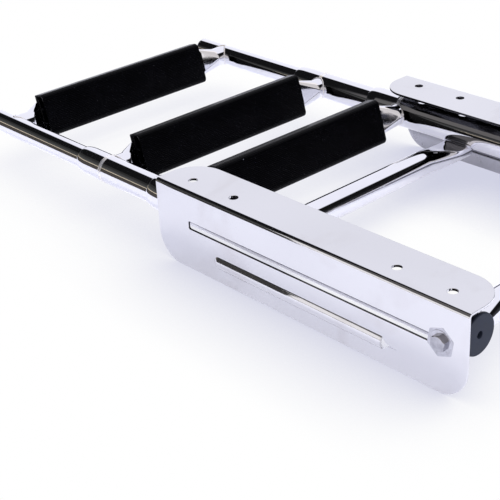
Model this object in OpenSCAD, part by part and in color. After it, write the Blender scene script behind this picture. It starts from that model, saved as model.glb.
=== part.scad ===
// Slide-out telescoping boarding ladder, bolted under a swim platform.
// The origin is the centre of the bolt holes, on the top face of the track flanges.
// -X points outboard, Y runs across the ladder and +Z is up. All sizes are in millimetres.

/* [Track brackets] */
// Length of each track bracket
track_length = 400; // [396:1:404]
// Height of each track bracket
track_height = 88; // [86:1:92]
// Distance over the outer faces of the two brackets
track_span = 388; // [384:1:392]
// Width of the bolted flange
flange_width = 54; // [50:1:58]
// Thickness of the bracket sheet
sheet = 2.5; // [2.3:0.1:2.6]
// Radius of the lower corners of the upright plate
plate_corner_r = 31; // [24:1:36]
// Radius of the free corners of the flange
flange_corner_r = 35.5; // [30:0.5:40]
// Diameter of the mounting holes
mount_hole_d = 9.6; // [8.4:0.1:10.5]
// Spacing of the outer mounting holes along the track
outer_hole_spacing = 332; // [326:1:338]
// Spacing of the inner mounting holes along the track
inner_hole_spacing = 210; // [190:1:230]
// Height of the slide slot
slot_height = 8.6; // [8.5:0.1:9]

/* [Stiles] */
// Distance between the centre lines of the two stiles
stile_spacing = 341; // [340.4:0.1:341.4]
// Depth of the stile centre line below the flange top
stile_depth = 34; // [33:0.5:35]
// Outside diameter of the outer tubes
outer_od = 38.1; // [38:0.1:38.2]
// Outside diameter of the middle tubes
middle_od = 31.75; // [31.5:0.05:32]
// Outside diameter of the inner tubes
inner_od = 25.4; // [25:0.1:25.6]
// Wall thickness of all the tubes
tube_wall = 1.5; // [1.2:0.1:1.6]
// Length of the collars on the outer tubes, from lip to weld
outer_collar_length = 49; // [45:1:54]
// Length of the collars on the middle tubes, from lip to weld
middle_collar_length = 44; // [40:1:48]

/* [Steps] */
// Outside diameter of the step tubes
rung_od = 25.4; // [25:0.1:25.6]
// Outside diameter of the two crossbars
crossbar_od = 28.6; // [28:0.1:29]
// Length of the black treads
tread_length = 251.6; // [240:0.2:254]
// Height of the black treads
tread_height = 53; // [51:0.5:55]
// Backward lean of the treads
tread_lean = 16; // [14:0.5:18]
// Number of ribs across the flat of the tread face
face_ribs = 19; // [15:1:21]

/* [Pivot] */
// Diameter of the pivot bolts
bolt_d = 8; // [7.6:0.1:8]
// Running clearance round the pivot bolts, on the radius
pivot_clearance = 0.06; // [0.03:0.01:0.1]

/* [Hidden] */
$fn = 96;

// Track brackets
track_end = track_length / 2;
plate_y = track_span / 2;
bend_r = 4.5;
slot_z = -37.8;
slot_start = -152;
slot_end = 176.5;
slot_corner_r = 2;
hole_inset = 21.3;
rib_start = -115;
rib_end = 106.5;
rib_z = -65.9;
rib_r = 9.5;
rib_rise = 2.7;
rib_depth = rib_r - rib_rise;
rib_half = sqrt(rib_r * rib_r - rib_depth * rib_depth);
mouth_length = 5.2;
mouth_low = -71;
mouth_high = -63.8;
mouth_r = 1.6;
slit_end = 124;
slit_z = -66.5;
slit_half = 1.1;

// Stiles
stile_y = stile_spacing / 2;
stile_z = -stile_depth;
outer_r = outer_od / 2;
middle_r = middle_od / 2;
inner_r = inner_od / 2;
ramp_length = 15;
lip_wall = 0.8;
mouth_gap = 0.4;
ring_seat_start = 5;
bead_half = 2.6;
bead_rise = 0.4;
upper_rung_x = -182.5;
middle_rung_x = -315.5;
lower_rung_x = -505.7;
outer_tube_start = upper_rung_x;
outer_tube_end = 188.5;
middle_tube_start = middle_rung_x;
middle_tube_end = 0;
inner_tube_start = -550;
inner_tube_end = -160;
guide_gap = 0.1;
guide_length = 12;
bushing_length = 12;
dome_depth = 5;
cap_skirt = 10;
plug_r = 19.85;
plug_head = 3.5;
plug_spigot = 7;
plug_hole_r = 3.5;

// Steps and crossbars
rung_r = rung_od / 2;
rung_end_y = 160;
round_end_y = 150.5;
press_end_y = 126;
flat_n = -9.6;
flat_half_straight = 16.7;
flat_r = 2.1;
loft_points = 28;
loft_steps = 8;
crossbar_r = crossbar_od / 2;
crossbar_z = -53.5;
front_crossbar_x = -96;
rear_crossbar_x = 152;
crossbar_end_y = 164;
crossbar_flat_y = 150;
crossbar_round_y = 96;
crossbar_flat_drop = 1.6;
crossbar_flat_half = 13.8;
crossbar_flat_r = 6.25;

// Treads, in (n, u): n across the tread and u up its face
tread_front = 4.3;
tread_seat = -7.5;
tread_lip = -12.2;
tread_back = -13.5;
tread_corner_r = 6.5;
tread_wall = 1.9;
seat_half = 19.2;
lip_half = 17.6;
rib_pitch = 2.05;
groove_r = 0.42;
edge_grooves = 5;
rivet_y = 82;
rivet_r = 2.4;
rivet_hole_r = 2.45;
rivet_head_r = 4.6;

// Pivot
pivot_x = 171.3;
bolt_r = bolt_d / 2;
hex_plate_af = 26;
hex_plate_t = 2;
washer_r = 11.5;
washer_t = 1;
bolt_head_af = 14;
bolt_head_t = 4.2;
bolt_length = 28;
insert_r = 8;
insert_length = 20;
bush_r = 9;
bush_gap = 0.2;
plate_turn = 21;
head_turn = 22;
slide_gap = 0.1;

stainless = "lightsteelblue";
polished = "silver";
black_plastic = "#101014";
dark_rubber = "#2c3440";
white_nylon = "#e8e6de";

// A pair of copies, one on each side of the ladder
module both_sides() {
    children();
    mirror([0, 1, 0]) children();
}

// A round bar along X, on the centre line of the left stile
module stile_bar(r, x0, x1) {
    translate([x0, -stile_y, stile_z]) rotate([0, 90, 0]) cylinder(h = x1 - x0, r = r);
}

module stile_tube(od, x0, x1) {
    difference() {
        stile_bar(od / 2, x0, x1);
        stile_bar(od / 2 - tube_wall, x0 - 1, x1 + 1);
    }
}

// A ring on the centre line of the left stile, between two radii
module stile_ring(inner, outer, x0, x1) {
    difference() {
        stile_bar(outer, x0, x1);
        stile_bar(inner, x0 - 1, x1 + 1);
    }
}

// A round bar along Y on the pivot axis, measured inwards from the outer face of the left bracket
module pivot_bar(r, y0, y1) {
    translate([pivot_x, y0 - plate_y, slot_z]) rotate([-90, 0, 0]) cylinder(h = y1 - y0, r = r);
}

// The L section of a bracket, in Y and Z, with its rounded bend
module bracket_section() {
    inner_bend_r = bend_r - sheet;
    difference() {
        union() {
            translate([-plate_y, -track_height]) square([sheet, track_height - bend_r]);
            translate([-plate_y + bend_r, -sheet]) square([flange_width - bend_r, sheet]);
            intersection() {
                translate([-plate_y + bend_r, -bend_r]) circle(bend_r);
                translate([-plate_y, -bend_r]) square(bend_r);
            }
        }
        translate([-plate_y + bend_r, -bend_r]) circle(inner_bend_r);
    }
}

// A rectangle of length l and depth d with its two lower corners rounded
module rounded_foot(l, d, r) {
    translate([-l / 2, -d + r]) square([l, d - r + 1]);
    translate([-l / 2 + r, -d]) square([l - 2 * r, d]);
    for (s = [-1, 1]) translate([s * (l / 2 - r), -d + r]) circle(r);
}

// A rectangle between two corners with all four corners rounded
module rounded_box(x0, x1, z0, z1, r) {
    translate([x0 + r, z0]) square([x1 - x0 - 2 * r, z1 - z0]);
    translate([x0, z0 + r]) square([x1 - x0, z1 - z0 - 2 * r]);
    for (x = [x0 + r, x1 - r], z = [z0 + r, z1 - r]) translate([x, z]) circle(r);
}

// Cuts a side-view outline through the upright plate
module through_plate() {
    translate([0, 1 - plate_y + sheet, 0]) rotate([90, 0, 0]) linear_extrude(sheet + 2) children();
}

// The bar that the pressed rib follows: a cylinder along X with a ball at its outboard end
module rib_bar(r) {
    centre_y = rib_depth - plate_y;
    translate([rib_start + rib_half, centre_y, rib_z]) sphere(r);
    translate([rib_start + rib_half, centre_y, rib_z]) rotate([0, 90, 0])
        cylinder(h = rib_end - rib_start - rib_half, r = r);
}

// The rib stands out from the plate, and its inboard end is cut open
module rib() {
    intersection() {
        rib_bar(rib_r);
        translate([-track_end, -plate_y - rib_r, rib_z - rib_r])
            cube([track_length, rib_r + sheet / 2, 2 * rib_r]);
    }
}

// The open end of the rib and the pointed slit that runs on from it, in X and Z
module rib_mouth() {
    rounded_box(rib_end, rib_end + mouth_length, mouth_low, mouth_high, mouth_r);
    polygon([
        [rib_end + mouth_length - 1, slit_z + slit_half],
        [slit_end, slit_z],
        [rib_end + mouth_length - 1, slit_z - slit_half]
    ]);
}

module bracket() {
    difference() {
        union() {
            intersection() {
                translate([-track_end, 0, 0]) rotate([90, 0, 90]) linear_extrude(track_length)
                    bracket_section();
                rotate([90, 0, 0]) linear_extrude(plate_y + 1)
                    rounded_foot(track_length, track_height, plate_corner_r);
                translate([0, -plate_y, -track_height - 1]) mirror([0, 1, 0])
                    linear_extrude(track_height + 2)
                        rounded_foot(track_length, flange_width, flange_corner_r);
            }
            rib();
        }
        rib_bar(rib_r - sheet);
        through_plate() rounded_box(slot_start, slot_end, slot_z - slot_height / 2, slot_z + slot_height / 2,
            slot_corner_r);
        through_plate() rib_mouth();
        for (x = [-outer_hole_spacing, -inner_hole_spacing, inner_hole_spacing, outer_hole_spacing] / 2)
            translate([x, hole_inset - plate_y, -sheet - 1]) cylinder(h = sheet + 2, d = mount_hole_d);
    }
}

module bracket_left() {
    color(stainless) bracket();
}

module bracket_right() {
    color(stainless) mirror([0, 1, 0]) bracket();
}

// Bolt shank along the pivot axis with its hexagonal head outside the bracket
module pivot_bolts() {
    seat = -hex_plate_t - washer_t - slide_gap;
    color(polished) both_sides() {
        pivot_bar(bolt_r, seat - 1, seat + bolt_length);
        translate([pivot_x, seat - plate_y, slot_z]) rotate([90, 0, 0]) rotate([0, 0, head_turn])
            cylinder(h = bolt_head_t, r = bolt_head_af / 2 / cos(30), $fn = 6);
    }
}

// Hexagonal bearing plates that slide on the outer faces of the brackets
module hex_plates() {
    color(polished) both_sides() difference() {
        translate([pivot_x, -slide_gap - plate_y, slot_z]) rotate([90, 0, 0]) rotate([0, 0, plate_turn])
            cylinder(h = hex_plate_t, r = hex_plate_af / 2 / cos(30), $fn = 6);
        pivot_bar(bolt_r, -hex_plate_t - 1, 1);
    }
}

module bolt_washers() {
    color(polished) both_sides() difference() {
        pivot_bar(washer_r, -hex_plate_t - washer_t - slide_gap, -hex_plate_t - slide_gap);
        pivot_bar(bolt_r, -hex_plate_t - washer_t - 1, 1);
    }
}

// Nylon bushes that keep the stiles off the inner faces of the brackets
module spacer_bushes() {
    bush_end = plate_y - stile_y - outer_r - bush_gap;
    color(white_nylon) both_sides() difference() {
        pivot_bar(bush_r, sheet + bush_gap, bush_end);
        pivot_bar(bolt_r, 0, bush_end + 1);
    }
}

// Cross inserts that carry the pivot bolts inside the outer tubes
module pivot_inserts() {
    color(polished) both_sides() difference() {
        intersection() {
            pivot_bar(insert_r, 2 * sheet, 2 * sheet + insert_length);
            stile_bar(outer_r - tube_wall, pivot_x - 2 * insert_r, pivot_x + 2 * insert_r);
        }
        pivot_bar(bolt_r + pivot_clearance, 0, bolt_length + 2);
    }
}

module outer_tube() {
    difference() {
        stile_tube(outer_od, outer_tube_start, outer_tube_end);
        pivot_bar(bolt_r + pivot_clearance, 0, plate_y - stile_y);
    }
}

module outer_tube_left() {
    color(polished) outer_tube();
}

module outer_tube_right() {
    color(polished) mirror([0, 1, 0]) outer_tube();
}

// A collar that carries a tube on to an open mouth, which ramps down over the next smaller tube.
// tube_r is the tube that it is welded to and mouth_r the tube that slides through it.
module collar(tube_r, mouth_r, rung_x, length) {
    mouth = mouth_r + mouth_gap;
    lip = mouth + lip_wall;
    bore = tube_r - tube_wall;
    ramp = [for (i = [0 : 8]) [lip + (tube_r - lip) * sin(i * 11.25), ramp_length * (1 - cos(i * 11.25))]];
    translate([rung_x - length, -stile_y, stile_z]) rotate([0, 90, 0]) rotate_extrude()
        polygon(concat(
            [[mouth, 0]],
            ramp,
            [
                [tube_r, length - bead_half],
                [tube_r + bead_rise, length - bead_half / 2],
                [tube_r + bead_rise, length + bead_half / 2],
                [tube_r, length + bead_half],
                [tube_r, length],
                [bore, length],
                [bore, ring_seat_start],
                [mouth, ring_seat_start]
            ]));
}

module outer_collars() {
    color(polished) both_sides() collar(outer_r, middle_r, upper_rung_x, outer_collar_length);
}

module middle_collars() {
    color(polished) both_sides() collar(middle_r, inner_r, middle_rung_x, middle_collar_length);
}

// The guide ring in the mouth of a collar whose lip is at start
module guide_ring(tube_r, mouth_r, start) {
    ring_start = start + ring_seat_start;
    stile_ring(mouth_r + guide_gap, tube_r - tube_wall, ring_start, ring_start + guide_length);
}

module outer_guide_rings() {
    color(white_nylon) both_sides() guide_ring(outer_r, middle_r, upper_rung_x - outer_collar_length);
}

module middle_guide_rings() {
    color(white_nylon) both_sides() guide_ring(middle_r, inner_r, middle_rung_x - middle_collar_length);
}

// Rubber plugs that close the inboard ends of the outer tubes
module end_plugs() {
    color(dark_rubber) both_sides() difference() {
        union() {
            stile_bar(plug_r, outer_tube_end, outer_tube_end + plug_head);
            stile_bar(outer_r - tube_wall, outer_tube_end - plug_spigot, outer_tube_end + 1);
        }
        stile_bar(plug_hole_r, outer_tube_end - plug_spigot - 1, outer_tube_end + plug_head + 1);
    }
}

module middle_tube_left() {
    color(polished) stile_tube(middle_od, middle_tube_start, middle_tube_end);
}

module middle_tube_right() {
    color(polished) mirror([0, 1, 0]) stile_tube(middle_od, middle_tube_start, middle_tube_end);
}

// Bushings fixed on the inboard ends of the sliding tubes
module middle_slide_bushings() {
    color(white_nylon) both_sides()
        stile_ring(middle_r, outer_r - tube_wall - guide_gap, middle_tube_end - bushing_length, middle_tube_end);
}

module lower_slide_bushings() {
    color(white_nylon) both_sides()
        stile_ring(inner_r, middle_r - tube_wall - guide_gap, inner_tube_end - bushing_length, inner_tube_end);
}

module lower_tube_left() {
    color(polished) stile_tube(inner_od, inner_tube_start, inner_tube_end);
}

module lower_tube_right() {
    color(polished) mirror([0, 1, 0]) stile_tube(inner_od, inner_tube_start, inner_tube_end);
}

// Domed caps on the outboard ends of the inner tubes
module foot_caps() {
    dome = [for (i = [0 : 9]) [inner_r * cos(i * 10), dome_depth * sin(i * 10)]];
    color(polished) both_sides() translate([inner_tube_start, -stile_y, stile_z]) rotate([0, -90, 0])
        rotate_extrude() polygon(concat(
            [[0, -cap_skirt], [inner_r - tube_wall, -cap_skirt], [inner_r - tube_wall, 0]],
            dome));
}

// Point at fraction f of the way round a circle, in (n, u)
function circle_point(r, f) = [r * cos(360 * f), r * sin(360 * f)];

// Point at fraction f of the way round a flat-sided oval of end radius r, measured from its front
function oval_point(half, r, f) =
    let (
        arc = PI * r,
        around = 4 * half + 2 * arc,
        s = f * around
    )
    s < half ? [r, s] :
    s < half + arc ? [r * cos(180 * (s - half) / arc), half + r * sin(180 * (s - half) / arc)] :
    s < 3 * half + arc ? [-r, half - (s - half - arc)] :
    s < 3 * half + 2 * arc ?
        [-r * cos(180 * (s - 3 * half - arc) / arc), -half - r * sin(180 * (s - 3 * half - arc) / arc)] :
    [r, s - around];

function smooth(t) = t * t * (3 - 2 * t);

// One ring of a pressed tube at station y: round where t is 0 and flat where t is 1.
// The flat oval is set off by shift along n, and the ring is turned by lean about the tube.
function pressed_ring(y, t, r, half, flat_end_r, shift, lean) = [
    for (i = [0 : loft_points - 1])
        let (
            f = i / loft_points,
            round_p = circle_point(r, f),
            flat_p = oval_point(half, flat_end_r, f) + [shift, 0],
            p = round_p * (1 - t) + flat_p * t
        )
        [p[0] * cos(lean) - p[1] * sin(lean), y, p[0] * sin(lean) + p[1] * cos(lean)]
];

// A closed hollow tube through the rings of its outside and its inside
module hollow_loft(outer_rings, inner_rings) {
    rings = len(outer_rings);
    n = loft_points;
    inner_base = rings * n;
    outer_faces = [for (j = [0 : rings - 2], i = [0 : n - 1])
        let (k = (i + 1) % n) each [
            [j * n + i, (j + 1) * n + k, j * n + k],
            [j * n + i, (j + 1) * n + i, (j + 1) * n + k]
        ]];
    inner_faces = [for (f = outer_faces) [f[0] + inner_base, f[2] + inner_base, f[1] + inner_base]];
    last = (rings - 1) * n;
    end_faces = [for (i = [0 : n - 1])
        let (k = (i + 1) % n) each [
            [i, k, inner_base + k],
            [i, inner_base + k, inner_base + i],
            [last + i, inner_base + last + k, last + k],
            [last + i, inner_base + last + i, inner_base + last + k]
        ]];
    polyhedron(
        points = [for (ring = concat(outer_rings, inner_rings)) each ring],
        faces = concat(outer_faces, inner_faces, end_faces));
}

// Stations of a pressed tube from one end to the other, each with its degree of flatness
function stations(end_y, round_y, flat_y) =
    let (half = concat(
        [[end_y, 0]],
        [for (i = [0 : loft_steps]) [round_y + (flat_y - round_y) * i / loft_steps, smooth(i / loft_steps)]]
    ))
    concat([for (s = half) [-s[0], s[1]]], [for (i = [len(half) - 1 : -1 : 0]) half[i]]);

// The step tube: round at the stiles and pressed flat behind the tread
module rung(x) {
    line = stations(rung_end_y, round_end_y, press_end_y);
    translate([x, 0, stile_z]) hollow_loft(
        [for (s = line) pressed_ring(s[0], s[1], rung_r, flat_half_straight, flat_r, flat_n, tread_lean)],
        [for (s = line) pressed_ring(s[0], s[1], rung_r - tube_wall, flat_half_straight,
            flat_r - tube_wall, flat_n, tread_lean)]);
}

// The rivets' places on a tread, and the direction through it
module at_rivets(x) {
    for (y = [-rivet_y, rivet_y])
        translate([x, y, stile_z]) rotate([0, -tread_lean, 0]) rotate([0, 90, 0]) children();
}

module rivet_holes(x) {
    at_rivets(x) translate([0, 0, tread_back]) cylinder(h = tread_seat - tread_back + 2.4, r = rivet_hole_r);
}

// Everything that a rung is coped to at the left stile
module stile_envelope(tube_r, x) {
    stile_bar(tube_r, x - flange_width, x + flange_width);
    stile_bar(tube_r + bead_rise, x - bead_half, x + bead_half);
}

module collared_rung(tube_r, x) {
    color(polished) difference() {
        rung(x);
        both_sides() stile_envelope(tube_r, x);
        rivet_holes(x);
    }
}

module upper_rung() {
    collared_rung(outer_r, upper_rung_x);
}

module middle_rung() {
    collared_rung(middle_r, middle_rung_x);
}

module lower_rung() {
    color(polished) difference() {
        rung(lower_rung_x);
        both_sides() stile_bar(inner_r, lower_rung_x - 50, lower_rung_x + 50);
        rivet_holes(lower_rung_x);
    }
}

// The section of a tread in (n, u), before its ribs and cells are cut
module tread_outline(front, half, r) {
    translate([tread_back, -half]) square([front - tread_back - r, 2 * half]);
    translate([tread_back, -half + r]) square([front - tread_back, 2 * half - 2 * r]);
    for (s = [-1, 1]) translate([front - r, s * (half - r)]) circle(r);
}

module tread_section() {
    half = tread_height / 2;
    corner_n = tread_front - tread_corner_r;
    corner_u = half - tread_corner_r;
    difference() {
        tread_outline(tread_front, half, tread_corner_r);
        for (i = [0 : face_ribs])
            translate([tread_front, (i - face_ribs / 2) * rib_pitch]) circle(groove_r, $fn = 24);
        for (s = [-1, 1], i = [1 : edge_grooves])
            let (a = i * 90 / edge_grooves)
            translate([corner_n + tread_corner_r * cos(a), s * (corner_u + tread_corner_r * sin(a))])
                circle(groove_r, $fn = 24);
        translate([tread_lip, -seat_half]) square([tread_seat - tread_lip, 2 * seat_half]);
        translate([tread_back - 1, -lip_half]) square([tread_seat - tread_back, 2 * lip_half]);
        intersection() {
            tread_outline(tread_front - tread_wall, half - tread_wall, tread_corner_r - tread_wall);
            for (u0 = [-half, -half / 3 + tread_wall / 2, half / 3 + tread_wall / 2])
                translate([tread_seat + tread_wall, u0]) square([20, 2 * half / 3 - tread_wall]);
        }
    }
}

module tread(x) {
    color(black_plastic) difference() {
        translate([x, 0, stile_z]) rotate([0, -tread_lean, 0]) translate([0, tread_length / 2, 0])
            rotate([90, 0, 0]) linear_extrude(tread_length) tread_section();
        rivet_holes(x);
    }
}

module upper_tread() {
    tread(upper_rung_x);
}

module middle_tread() {
    tread(middle_rung_x);
}

module lower_tread() {
    tread(lower_rung_x);
}

// Blind rivets that hold a tread on its rung
module rivets(x) {
    rivet_start = flat_n - flat_r;
    rivet_end = tread_seat + tread_wall;
    color(polished) at_rivets(x) {
        translate([0, 0, rivet_start]) cylinder(h = rivet_end - rivet_start, r = rivet_r);
        translate([0, 0, rivet_start - 1.2]) cylinder(h = 1.2, r1 = rivet_head_r - 1, r2 = rivet_head_r);
        translate([0, 0, rivet_end]) cylinder(h = 1.6, r = rivet_r + 1);
    }
}

module upper_tread_rivets() {
    rivets(upper_rung_x);
}

module middle_tread_rivets() {
    rivets(middle_rung_x);
}

module lower_tread_rivets() {
    rivets(lower_rung_x);
}

// A crossbar: round in the middle, with its ends pressed flat under the outer tubes
module crossbar(x) {
    line = stations(crossbar_end_y, crossbar_flat_y, crossbar_round_y);
    color(polished) difference() {
        translate([x, 0, crossbar_z]) hollow_loft(
            [for (s = line) pressed_ring(s[0], 1 - s[1], crossbar_r, crossbar_flat_half, crossbar_flat_r,
                -crossbar_flat_drop, 90)],
            [for (s = line) pressed_ring(s[0], 1 - s[1], crossbar_r - tube_wall, crossbar_flat_half,
                crossbar_flat_r - tube_wall, -crossbar_flat_drop, 90)]);
        both_sides() stile_bar(outer_r, x - 60, x + 60);
    }
}

module front_crossbar() {
    crossbar(front_crossbar_x);
}

module rear_crossbar() {
    crossbar(rear_crossbar_x);
}

bracket_left();
bracket_right();
pivot_bolts();
hex_plates();
bolt_washers();
spacer_bushes();
outer_tube_left();
outer_tube_right();
outer_collars();
end_plugs();
front_crossbar();
rear_crossbar();
upper_rung();
upper_tread();
upper_tread_rivets();
pivot_inserts();
outer_guide_rings();
middle_tube_left();
middle_tube_right();
middle_collars();
middle_guide_rings();
middle_slide_bushings();
middle_rung();
middle_tread();
middle_tread_rivets();
lower_tube_left();
lower_tube_right();
foot_caps();
lower_slide_bushings();
lower_rung();
lower_tread();
lower_tread_rivets();
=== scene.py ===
import math

import bmesh
import bpy
from mathutils import Matrix, Vector
from mathutils.geometry import tessellate_polygon


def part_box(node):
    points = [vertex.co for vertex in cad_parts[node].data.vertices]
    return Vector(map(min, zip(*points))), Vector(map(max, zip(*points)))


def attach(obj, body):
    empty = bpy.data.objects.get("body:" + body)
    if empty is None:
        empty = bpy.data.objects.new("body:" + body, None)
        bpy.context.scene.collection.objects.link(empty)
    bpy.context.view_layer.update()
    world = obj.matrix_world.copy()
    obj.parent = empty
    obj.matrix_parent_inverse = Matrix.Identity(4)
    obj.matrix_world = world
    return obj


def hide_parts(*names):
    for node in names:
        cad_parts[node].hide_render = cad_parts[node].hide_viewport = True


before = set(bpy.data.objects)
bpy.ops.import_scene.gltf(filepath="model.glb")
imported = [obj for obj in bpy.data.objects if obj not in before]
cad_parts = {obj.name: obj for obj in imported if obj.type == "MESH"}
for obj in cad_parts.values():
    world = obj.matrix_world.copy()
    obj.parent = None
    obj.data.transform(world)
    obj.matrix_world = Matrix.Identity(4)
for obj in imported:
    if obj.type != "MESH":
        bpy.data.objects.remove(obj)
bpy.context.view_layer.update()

MM = 0.001
TINY = 1e-9
SIDES = {"left": -1, "right": 1}

# ---------------- places, from the frame

tube_low, tube_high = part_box("outer_tube_left")
STILE_Y = -(tube_low.y + tube_high.y) / 2
STILE_Z = (tube_low.z + tube_high.z) / 2
OUTER_R = (tube_high.z - tube_low.z) / 2
OUTER_END = tube_high.x
mid_low, mid_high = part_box("middle_tube_left")
MIDDLE_R = (mid_high.z - mid_low.z) / 2
in_low, in_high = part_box("lower_tube_left")
INNER_R = (in_high.z - in_low.z) / 2
TUBE_WALL = 1.5 * MM

plate_low, plate_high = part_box("bracket_left")
TRACK_HALF = plate_high.x
FACE_Y = -plate_low.y
TRACK_HEIGHT = plate_high.z - plate_low.z
FLOOR_Z = plate_low.z
bush_low, bush_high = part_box("spacer_bushes")
PIVOT_X = (bush_low.x + bush_high.x) / 2
PIVOT_Z = (bush_low.z + bush_high.z) / 2
bar_low, bar_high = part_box("front_crossbar")
CROSSBAR_R = (bar_high.z - bar_low.z) / 2
CROSSBAR_Z = (bar_high.z + bar_low.z) / 2

RUNG_R = 12.7 * MM
RUNG_X = {n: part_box(n + "_rung")[1].x - RUNG_R for n in ("upper", "middle", "lower")}
CROSSBAR_X = {n: sum(c.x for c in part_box(n + "_crossbar")) / 2 for n in ("front", "rear")}
TREAD_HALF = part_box("upper_tread")[1].y

# ---------------- node materials


def new_material(name, colour, metallic, roughness):
    """A Principled material, with its node tree and its shader."""
    material = bpy.data.materials.new(name)
    material.use_nodes = True
    tree = material.node_tree
    shader = tree.nodes["Principled BSDF"]
    shader.inputs["Base Color"].default_value = (*colour, 1)
    shader.inputs["Metallic"].default_value = metallic
    shader.inputs["Roughness"].default_value = roughness
    return material, tree, shader


def object_coords(tree, scale=(1, 1, 1)):
    """Object coordinates stretched by scale, which stay with the piece as it moves."""
    coords = tree.nodes.new("ShaderNodeTexCoord")
    mapping = tree.nodes.new("ShaderNodeMapping")
    mapping.inputs["Scale"].default_value = scale
    tree.links.new(coords.outputs["Object"], mapping.inputs["Vector"])
    return mapping.outputs["Vector"]


def noise(tree, vector, scale, detail=3.0, roughness=0.5, distortion=0.0):
    node = tree.nodes.new("ShaderNodeTexNoise")
    node.inputs["Scale"].default_value = scale
    node.inputs["Detail"].default_value = detail
    node.inputs["Roughness"].default_value = roughness
    node.inputs["Distortion"].default_value = distortion
    tree.links.new(vector, node.inputs["Vector"])
    return node.outputs["Fac"]


def remap(tree, value, low, high, to_low, to_high):
    node = tree.nodes.new("ShaderNodeMapRange")
    node.inputs["From Min"].default_value = low
    node.inputs["From Max"].default_value = high
    node.inputs["To Min"].default_value = to_low
    node.inputs["To Max"].default_value = to_high
    tree.links.new(value, node.inputs["Value"])
    return node.outputs["Result"]


def blend(tree, factor, first, second):
    """Mixes the colour first, which may be a node's output, with the plain colour second."""
    node = tree.nodes.new("ShaderNodeMix")
    node.data_type = "RGBA"
    if isinstance(first, tuple):
        node.inputs["A"].default_value = (*first, 1)
    else:
        tree.links.new(first, node.inputs["A"])
    node.inputs["B"].default_value = (*second, 1)
    tree.links.new(factor, node.inputs["Factor"])
    return node.outputs["Result"]


def maths(tree, operation, first, second):
    """A Math node of an output and either a number or another output."""
    node = tree.nodes.new("ShaderNodeMath")
    node.operation = operation
    tree.links.new(first, node.inputs[0])
    if isinstance(second, float):
        node.inputs[1].default_value = second
    else:
        tree.links.new(second, node.inputs[1])
    return node.outputs["Value"]


def mix_shaders(tree, factor, first, second):
    node = tree.nodes.new("ShaderNodeMixShader")
    for source, socket in zip((factor, first, second), node.inputs):
        tree.links.new(source, socket)
    return node.outputs["Shader"]


def surface(tree, shader, tone, rough):
    """Gives the shader its patterns of colour and roughness."""
    tree.links.new(tone, shader.inputs["Base Color"])
    tree.links.new(rough, shader.inputs["Roughness"])


def add_bump(tree, shader, height, strength, distance):
    node = tree.nodes.new("ShaderNodeBump")
    node.inputs["Strength"].default_value = strength
    node.inputs["Distance"].default_value = distance
    tree.links.new(height, node.inputs["Height"])
    tree.links.new(node.outputs["Normal"], shader.inputs["Normal"])


def sheet_steel():
    """Satin stainless sheet: faint rolling grain, handling smudges and a slow change of tone."""
    material, tree, shader = new_material("sheet_steel", (0.80, 0.80, 0.85), 1.0, 0.3)
    plain = object_coords(tree)
    grain = noise(tree, object_coords(tree, (6, 90, 90)), 14, 4)
    smudge = noise(tree, plain, 11, 3, 0.55, 0.8)
    clouds = noise(tree, plain, 4.5, 2, 0.5, 0.4)
    tone = blend(tree, remap(tree, clouds, 0.35, 0.65, 0, 1), (0.71, 0.71, 0.735), (0.67, 0.67, 0.695))
    tone = blend(tree, remap(tree, smudge, 0.52, 0.72, 0, 0.75), tone, (0.60, 0.585, 0.60))
    smears = remap(tree, smudge, 0.3, 0.7, 0.05, 0.11)
    surface(tree, shader, tone, maths(tree, "ADD", smears, remap(tree, grain, 0.3, 0.7, -0.02, 0.02)))
    add_bump(tree, shader, grain, 0.05, 0.0002)
    return material


# Heights above the floor over which the back's painted shade turns near black.
SHADE_LOW, SHADE_HIGH = 14 * MM, 30 * MM


def painted_shade_sheet():
    """The back of the sheet: a duller finish, with painted shade: a darker tone than the front's, turning
    near black above the height where the tube shades it.
    """
    material, tree, shader = new_material("sheet_back_painted_shade", (0.3, 0.3, 0.34), 1.0, 0.35)
    plain = object_coords(tree)
    grime = noise(tree, plain, 26, 4, 0.6, 0.6)
    grain = noise(tree, object_coords(tree, (6, 90, 90)), 14, 4)
    # Painted shade: the back gets a darker tone than the front of the same sheet.
    tone = blend(tree, remap(tree, grime, 0.35, 0.7, 0, 1), (0.55, 0.55, 0.60), (0.46, 0.46, 0.50))
    split = tree.nodes.new("ShaderNodeSeparateXYZ")
    tree.links.new(plain, split.inputs["Vector"])
    # Painted shade: the tone ramps to near black from SHADE_LOW to SHADE_HIGH above the floor, where the tube
    # shades the back.
    height = remap(tree, split.outputs["Z"], FLOOR_Z + SHADE_LOW, FLOOR_Z + SHADE_HIGH, 0, 1)
    tone = blend(tree, height, tone, (0.055, 0.055, 0.062))
    surface(tree, shader, tone, remap(tree, grime, 0.3, 0.7, 0.18, 0.30))
    add_bump(tree, shader, grain, 0.1, 0.0002)
    return material


def polished_steel():
    """Mirror-polished stainless with faint buffing marks along the tube and a few dull patches."""
    colour, low, high = (0.80, 0.80, 0.84), 0.02, 0.06
    material, tree, shader = new_material("polished_steel", colour, 1.0, low)
    marks = noise(tree, object_coords(tree, (10, 160, 160)), 10, 4)
    patches = noise(tree, object_coords(tree), 22, 3, 0.6, 0.5)
    dull = remap(tree, patches, 0.35, 0.75, low, high)
    tone = blend(tree, remap(tree, patches, 0.4, 0.8, 0, 0.5), colour, tuple(c * 0.92 for c in colour))
    surface(tree, shader, tone, maths(tree, "ADD", dull, remap(tree, marks, 0.4, 0.7, 0.0, 0.015)))
    add_bump(tree, shader, marks, 0.03, 0.0001)
    return material


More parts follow.
